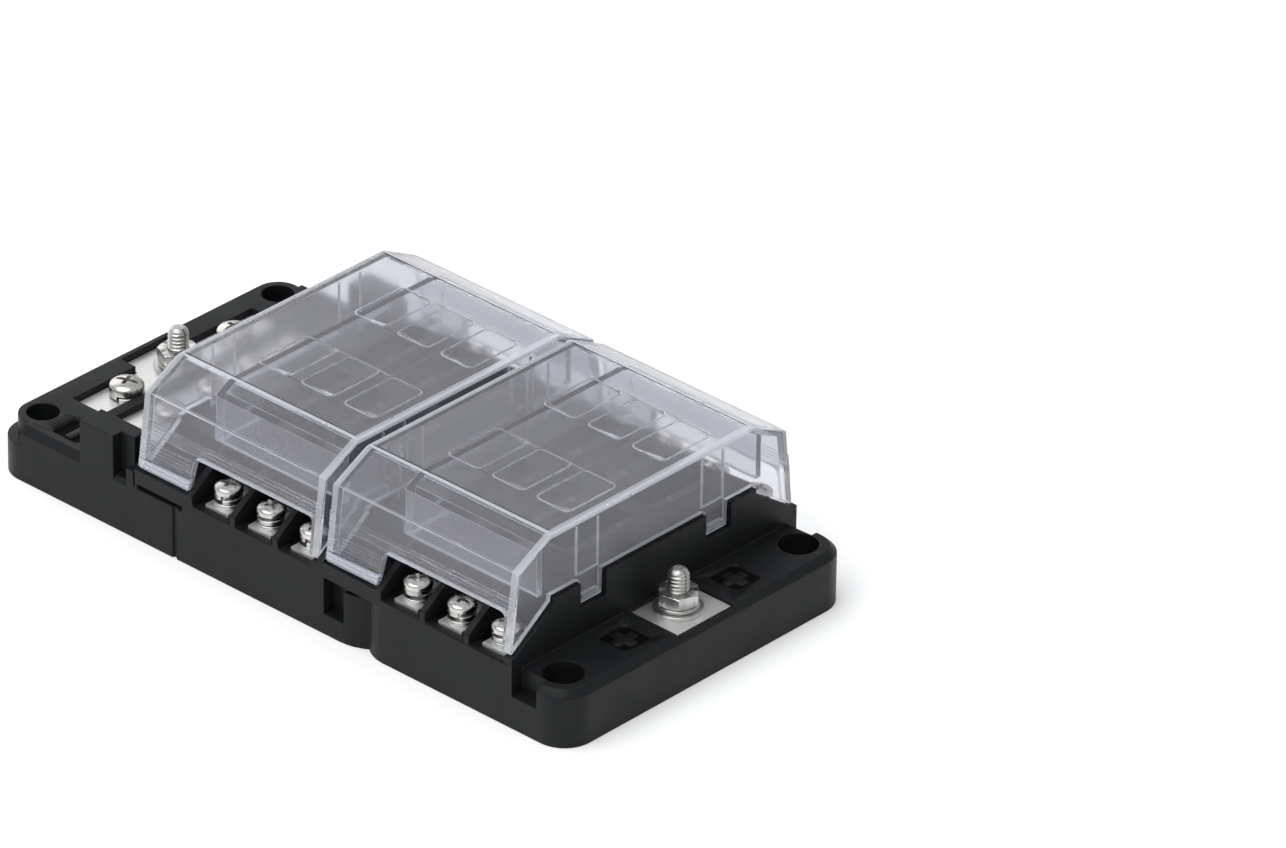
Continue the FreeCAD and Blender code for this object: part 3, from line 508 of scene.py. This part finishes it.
def spring_washers(name, places, inner, outer, low, thickness, lift, node, split=near_split):
    """Split rings that rise by lift from one end to the other, their splits about the angle split."""
    shape = bmesh.new()
    for number, (x, y) in enumerate(places):
        first = split + split_spread * math.sin(split_step * number) + split_gap / 2
        rings = []
        for i in range(spring_steps + 1):
            share = i / spring_steps
            angle = first + (math.tau - split_gap) * share
            rise = lift * share
            section = ring_profile(inner, outer, low + rise, low + thickness - lift + rise)
            rings.append([shape.verts.new((x + r * math.cos(angle), y + r * math.sin(angle), z))
                          for r, z in section])
        count = len(rings[0])
        for a, b in zip(rings, rings[1:]):
            for i in range(count):
                j = (i + 1) % count
                shape.faces.new((a[i], b[i], b[j], a[j]))
        shape.faces.new(rings[0])
        shape.faces.new(rings[-1])
    add_metal(name, finish_mesh(shape, name), metal_smoothing, zinc, node)


def threaded_stud(name, x, plate_top, plate, node):
    """Stud headed under its plate, with a real helical thread cut flat at both ends and a round tip."""
    foot = plate_top - plate
    top = plate_top + stud_rise
    shape = bmesh.new()
    points = len(stud_thread_section)
    rows = points * (int((top - foot) / stud_thread_pitch) + 3)
    columns = []
    for i in range(stud_steps):
        angle = math.tau * i / stud_steps
        column = []
        for row in range(rows):
            share, depth = stud_thread_section[row % points]
            z = foot - stud_thread_pitch + stud_thread_pitch * (row // points + share + i / stud_steps)
            rise = min(1.0, max(0.0, z - (top - stud_tip)) / stud_tip)
            radius = min(stud_radius - stud_thread_depth * depth,
                         stud_radius * math.sqrt(1.0 - stud_tip_narrowing * rise * rise))
            column.append(shape.verts.new((x + radius * math.cos(angle), radius * math.sin(angle), z)))
        columns.append(column)
    for i in range(stud_steps):
        shift = points if i == stud_steps - 1 else 0
        here, there = columns[i][shift:], columns[(i + 1) % stud_steps]
        for row in range(len(here) - 1):
            shape.faces.new((here[row], there[row], there[row + 1], here[row + 1]))
    for height, normal in ((foot, (0, 0, -1)), (top, (0, 0, 1))):
        whole = shape.verts[:] + shape.edges[:] + shape.faces[:]
        cut = bmesh.ops.bisect_plane(shape, geom=whole, plane_co=(x, 0, height), plane_no=normal,
                                     clear_outer=True)
        rim = [e for e in cut["geom_cut"] if isinstance(e, bmesh.types.BMEdge)]
        bmesh.ops.edgeloop_fill(shape, edges=rim)
    head_foot = foot - stud_head_height
    head = [(axis_radius, head_foot), (stud_head_radius - stud_head_chamfer, head_foot),
            (stud_head_radius, head_foot + stud_head_chamfer), (stud_head_radius, foot),
            (axis_radius, foot)]
    lathe(shape, x, 0, head, stud_steps)
    add_metal(name, finish_mesh(shape, name), thread_smoothing, stainless, node)


def screw_prototype(head_radius, head_height, shank_radius, shank_length):
    """Pan head with a cross and slot recess, its seat at z = 0 and its shank below."""
    crown = []
    edge = head_height * crown_start
    for i in range(crown_steps + 1):
        angle = math.pi / 2 * i / crown_steps
        crown.append((max(axis_radius, head_radius * math.cos(angle) ** crown_fullness),
                      edge + (head_height - edge) * math.sin(angle)))
    profile = [(axis_radius, -shank_length), (shank_radius * shank_tip, -shank_length),
               (shank_radius, -shank_length + shank_radius * shank_chamfer), (shank_radius, 0),
               (head_radius - metal_edge, 0), (head_radius, metal_edge)] + crown
    shape = bmesh.new()
    lathe(shape, 0, 0, profile, screw_steps)
    head = link("screw_head", finish_mesh(shape, "screw_head"))
    recess = bmesh.new()
    bars = ((cross_reach, cross_arm, cross_floor), (cross_arm, cross_reach, cross_floor),
            (slot_reach, slot_arm, slot_floor))
    for half_x, half_y, floor in bars:
        for v in bmesh.ops.create_cube(recess, size=2 * head_radius)["verts"]:
            low = v.co.z < 0
            taper = recess_taper if low else 1.0
            v.co = Vector((v.co.x * half_x * taper, v.co.y * half_y * taper,
                           head_height * (floor if low else recess_top)))
    cutter = link("screw_recess", finish_mesh(recess, "screw_recess"))
    cut = head.modifiers.new("recess", "BOOLEAN")
    cut.object = cutter
    cut.operation = "DIFFERENCE"
    cut.solver = "EXACT"
    cut.use_self = True
    mesh = evaluated(head)
    bpy.data.objects.remove(cutter)
    return mesh


def screws(name, prototype, places, seat, node):
    """Copies of a screw at (x, y) places, each turned as if driven home by hand."""
    shape = bmesh.new()
    for number, (x, y) in enumerate(places):
        copy = prototype.copy()
        turn = Matrix.Rotation(first_turn + turn_step * number, 4, "Z")
        copy.transform(Matrix.Translation((x, y, seat)) @ turn)
        shape.from_mesh(copy)
        bpy.data.meshes.remove(copy)
    mesh = bpy.data.meshes.new(name)
    shape.to_mesh(mesh)
    shape.free()
    add_metal(name, mesh, metal_smoothing, nickel, node)


def near_mark(point):
    """Whether a point of the housing is at one of the polarity marks."""
    return any(math.hypot(point.x - x, abs(point.y) - y) < mark_reach for x, y in mark_places)


def housing_share(edge):
    """Edges of the sunk polarity marks stay crisp."""
    return 0.0 if near_mark((edge.verts[0].co + edge.verts[1].co) / 2) else 1.0


def housing_zone(face):
    """1 on the floors of the sunk polarity marks, which get the black darkened as painted shade, 0
    elsewhere.
    """
    middle = face.calc_center_median()
    return 1 if near_mark(middle) and abs(middle.z - mark_floor) < fit_gap else 0


def end_walls(start):
    """X places of the inner faces of the end walls of the cover that starts at X start."""
    return start + cover_wall, start + cover_length - cover_wall


def framed(mesh, start):
    """Add the ribs about the four latch tongues of the cover that starts at X start."""
    shape = bmesh.new()
    shape.from_mesh(mesh)
    upright = (frame_rib, frame_top - skirt_foot)
    for x in end_walls(start):
        for middle in (-tongue_middle, tongue_middle):
            bars = [(middle - tongue_half, *upright), (middle + tongue_half - frame_rib, *upright),
                    (middle - tongue_half + frame_rib, 2 * (tongue_half - frame_rib), frame_rib)]
            for y, width, height in bars:
                for v in bmesh.ops.create_cube(shape, size=1)["verts"]:
                    v.co = Vector((x + v.co.x * frame_rib, y + (v.co.y + 0.5) * width,
                                   skirt_foot + (v.co.z + 0.5) * height))
    shape.to_mesh(mesh)
    shape.free()
    return mesh


def on_frame(point):
    """Whether a point of a cover's skin belongs to one of the fine ribs."""
    walls = [wall for start in cover_starts for wall in end_walls(start)]
    at_wall = any(abs(abs(point.x - wall) - frame_rib / 2) < frame_edge / 2 for wall in walls)
    return at_wall and abs(abs(point.y) - tongue_middle) < tongue_half + fit_gap and \
        skirt_foot - fit_gap < point.z < frame_top + fit_gap


def is_rib(face):
    return on_frame(face.calc_center_median()) and min(e.calc_length() for e in face.edges) < frame_edge


def cover_share(edge):
    """Share of the full rounding: none for ribs, label grooves and grips, all for the top's edges."""
    ends = [v.co for v in edge.verts]
    low, high = sorted(end.z for end in ends)
    length = edge.calc_length()
    if length < frame_edge and all(on_frame(end) for end in ends):
        return 0.0
    if any(is_rib(face) for face in edge.link_faces):
        return 0.0
    if high < tongue_foot + fit_gap:
        return tongue_share
    if low > cover_top - groove_depth - fit_gap and max(abs(end.y) for end in ends) < label_reach:
        return 0.0
    gripped = any(foot < low and high < top for foot, top in grip_ranges)
    level = high - low < fit_gap
    if gripped and (length < 2 * grip_height or (level and length > 8 * grip_height)):
        return 0.0
    if edge.calc_face_angle_signed(0.0) < 0:
        return inner_share
    if low > cover_top - fit_gap:
        return 1.0
    if length <= long_edge:
        return small_share
    if low > cover_ridge - fit_gap and high < cover_ridge + fit_gap:
        return ridge_share
    return side_share if low > skirt_foot else small_share


def cover_zone(face):
    """Band for label grooves, where its lighter colour is a painted highlight, and for ribs and walls
    seen along their thickness; the frosted plastic for lower rims.
    """
    middle = face.calc_center_median()
    if fit_gap < cover_top - middle.z < groove_depth + fit_gap and abs(middle.y) < label_reach:
        return band_zone
    if middle.z < skirt_foot + fit_gap and face.normal.z < -0.5:
        return frost_zone
    if is_rib(face):
        return band_zone
    if face.normal.z > -0.1 and abs(face.normal.x) < 0.5:
        for start in cover_starts:
            if min(abs(middle.x - start), abs(middle.x - start - cover_length)) < cover_wall:
                return band_zone
    return clear_zone


def mouldings():
    """The black housing and the two clear covers."""
    nodes = ["base_housing", "contact_deck", "bay_walls_front", "bay_walls_back",
             "fuse_sockets_left", "fuse_sockets_right"]
    # the floors of the polarity marks get the black darkened as painted shade
    softened(joined_nodes("housing", nodes), "housing_skin", moulding_edge, [black, sunk, black], "base",
             nodes, share=housing_share, pick=housing_zone)
    for side, start in zip(("left", "right"), cover_starts):
        node = "cover_" + side
        mesh = framed(frame["nodes"][node].data.copy(), start)
        # the roundings get the last material, whose lighter colour is partly a painted highlight
        softened(mesh, side + "_cover_skin", cover_edge, [clear, band, frost_and_highlight], side + "_lid",
                 [node], cover_rounding_angle, cover_smoothing, cover_share, cover_zone,
                 splits=end_walls(start))


def stud_parts():
    """The supply studs with their nuts and washers."""
    ends = (("positive", positive_stud_x, positive_plate_top, positive_plate),
            ("negative", negative_stud_x, negative_plate_top, negative_plate))
    for node in ("positive_nut", "negative_nut"):
        softened(frame["nodes"][node].data.copy(), node + "_skin", metal_edge, [zinc], "base",
                 [node])
    for end, x, top, plate in ends:
        threaded_stud(end + "_thread", x, top, plate, end + "_stud")
    hole = stud_radius + fit_gap
    for end, x, top, _ in ends:
        flat_washers(end + "_flat_ring", [(x, 0)], hole, stud_washer_radius, top, stud_washer_thickness,
                     end + "_flat_washer")
        spring_washers(end + "_spring_ring", [(x, 0)], hole, stud_spring_radius,
                       top + stud_washer_thickness, stud_spring_thickness, stud_spring_lift,
                       end + "_spring_washer", split=far_split)


def screw_parts():
    """The load screws and the negative bus plate's large and small screws, with their washers."""
    load_places = [(x, sign * load_screw_y) for x in load_screw_x for sign in (-1, 1)]
    large_places = [(negative_large_x, sign * negative_large_y) for sign in (-1, 1)]
    small_places = [(negative_small_x, y) for y in negative_small_y]
    spring_washers("large_spring_rings", large_places, large_shank_radius + fit_gap, large_head_radius,
                   negative_plate_top, large_spring_thickness, large_spring_lift,
                   "negative_large_spring_washers")
    load_screw = screw_prototype(load_head_radius, load_head_height, load_shank_radius, load_shank_length)
    large_screw = screw_prototype(large_head_radius, large_head_height, large_shank_radius,
                                  large_shank_length)
    hole = load_shank_radius + fit_gap
    for start, places, top in (("load", load_places, pad_top),
                               ("negative_small", small_places, negative_plate_top)):
        spring_foot = top + load_washer_thickness
        flat_washers(start + "_flat_rings", places, hole, load_washer_radius, top, load_washer_thickness,
                     start + "_flat_washers")
        spring_washers(start + "_spring_rings", places, hole, load_spring_radius, spring_foot,
                       load_spring_thickness, load_spring_lift, start + "_spring_washers")
        screws(start + "_screw_heads", load_screw, places, spring_foot + load_spring_thickness,
               start + "_screws")
    screws("large_screw_heads", large_screw, large_places, negative_plate_top + large_spring_thickness,
           "negative_large_screws")


def ray_flag(tree, *kinds):
    """Socket that is 1 for the named kinds of rays and 0 for the others."""
    rays = tree.nodes.new("ShaderNodeLightPath")
    flag = rays.outputs[kinds[0]]
    for kind in kinds[1:]:
        either = tree.nodes.new("ShaderNodeMath")
        either.operation = "MAXIMUM"
        tree.links.new(flag, either.inputs[0])
        tree.links.new(rays.outputs[kind], either.inputs[1])
        flag = either.outputs[0]
    return flag


def switched(tree, flag, off, on, target):
    """Feed the target socket from on where the flag is 1 and from off elsewhere."""
    switch = tree.nodes.new("ShaderNodeMixShader")
    tree.links.new(flag, switch.inputs["Fac"])
    tree.links.new(off, switch.inputs[1])
    tree.links.new(on, switch.inputs[2])
    tree.links.new(switch.outputs[0], target)


def pale_floor():
    """Floor that keeps the object's shadow and glows a little where it is seen."""
    corners = [(-floor_reach, -floor_reach, 0), (floor_reach, -floor_reach, 0),
               (floor_reach, floor_reach, 0), (-floor_reach, floor_reach, 0)]
    mesh = bpy.data.meshes.new("floor")
    mesh.from_pydata(corners, [], [(0, 1, 2, 3)])
    floor = link("floor", mesh)
    material, tree, shader = new_material("floor_white")
    shader.inputs["Base Color"].default_value = (floor_tone, floor_tone, floor_tone, 1)
    shader.inputs["Roughness"].default_value = floor_roughness
    shader.inputs["Specular IOR Level"].default_value = 0.0
    glow = tree.nodes.new("ShaderNodeEmission")
    glow.inputs["Strength"].default_value = floor_glow
    total = tree.nodes.new("ShaderNodeAddShader")
    tree.links.new(shader.outputs[0], total.inputs[0])
    tree.links.new(glow.outputs[0], total.inputs[1])
    switched(tree, ray_flag(tree, "Is Camera Ray", "Is Glossy Ray", "Is Transmission Ray"),
             shader.outputs[0], total.outputs[0], tree.nodes["Material Output"].inputs["Surface"])
    dress(floor, material)


def surround():
    """Soft even surround that is plain white where it is seen."""
    world = bpy.data.worlds.new("surround")
    scene.world = world
    world.use_nodes = True
    tree = world.node_tree
    plain = tree.nodes["Background"]
    plain.inputs["Color"].default_value = (*surround_tint, 1)
    plain.inputs["Strength"].default_value = surround_strength
    white = tree.nodes.new("ShaderNodeBackground")
    white.inputs["Color"].default_value = (1, 1, 1, 1)
    white.inputs["Strength"].default_value = backdrop_strength
    switched(tree, ray_flag(tree, "Is Camera Ray", "Is Transmission Ray"),
             plain.outputs[0], white.outputs[0], tree.nodes["World Output"].inputs["Surface"])


def area_lamps():
    """Soft round lamps that face the object."""
    for name, place, size, power in lamps:
        lamp = bpy.data.lights.new(name, "AREA")
        lamp.shape = "DISK"
        lamp.size = size
        lamp.energy = power
        holder = link(name, lamp)
        holder.location = place
        holder.rotation_mode = "QUATERNION"
        holder.rotation_quaternion = (-Vector(place)).to_track_quat("-Z", "Y")


def camera():
    data = bpy.data.cameras.new("view")
    data.sensor_width = sensor_width
    data.lens = focal_pixels / image_width * sensor_width
    data.clip_start = near_clip
    data.clip_end = far_clip
    eye = bpy.data.objects.new("view", data)
    back = camera_right.cross(camera_up)
    eye.matrix_world = Matrix((camera_right, camera_up, back)).transposed().to_4x4()
    eye.location = camera_place
    scene.collection.objects.link(eye)
    scene.camera = eye


for name, solid in frame["nodes"].items():
    dress(solid, next((m for start, m in node_materials.items() if name.startswith(start)), zinc))
mouldings()
stud_parts()
screw_parts()
pale_floor()
surround()
area_lamps()
camera()
scene.view_settings.view_transform = "Standard"
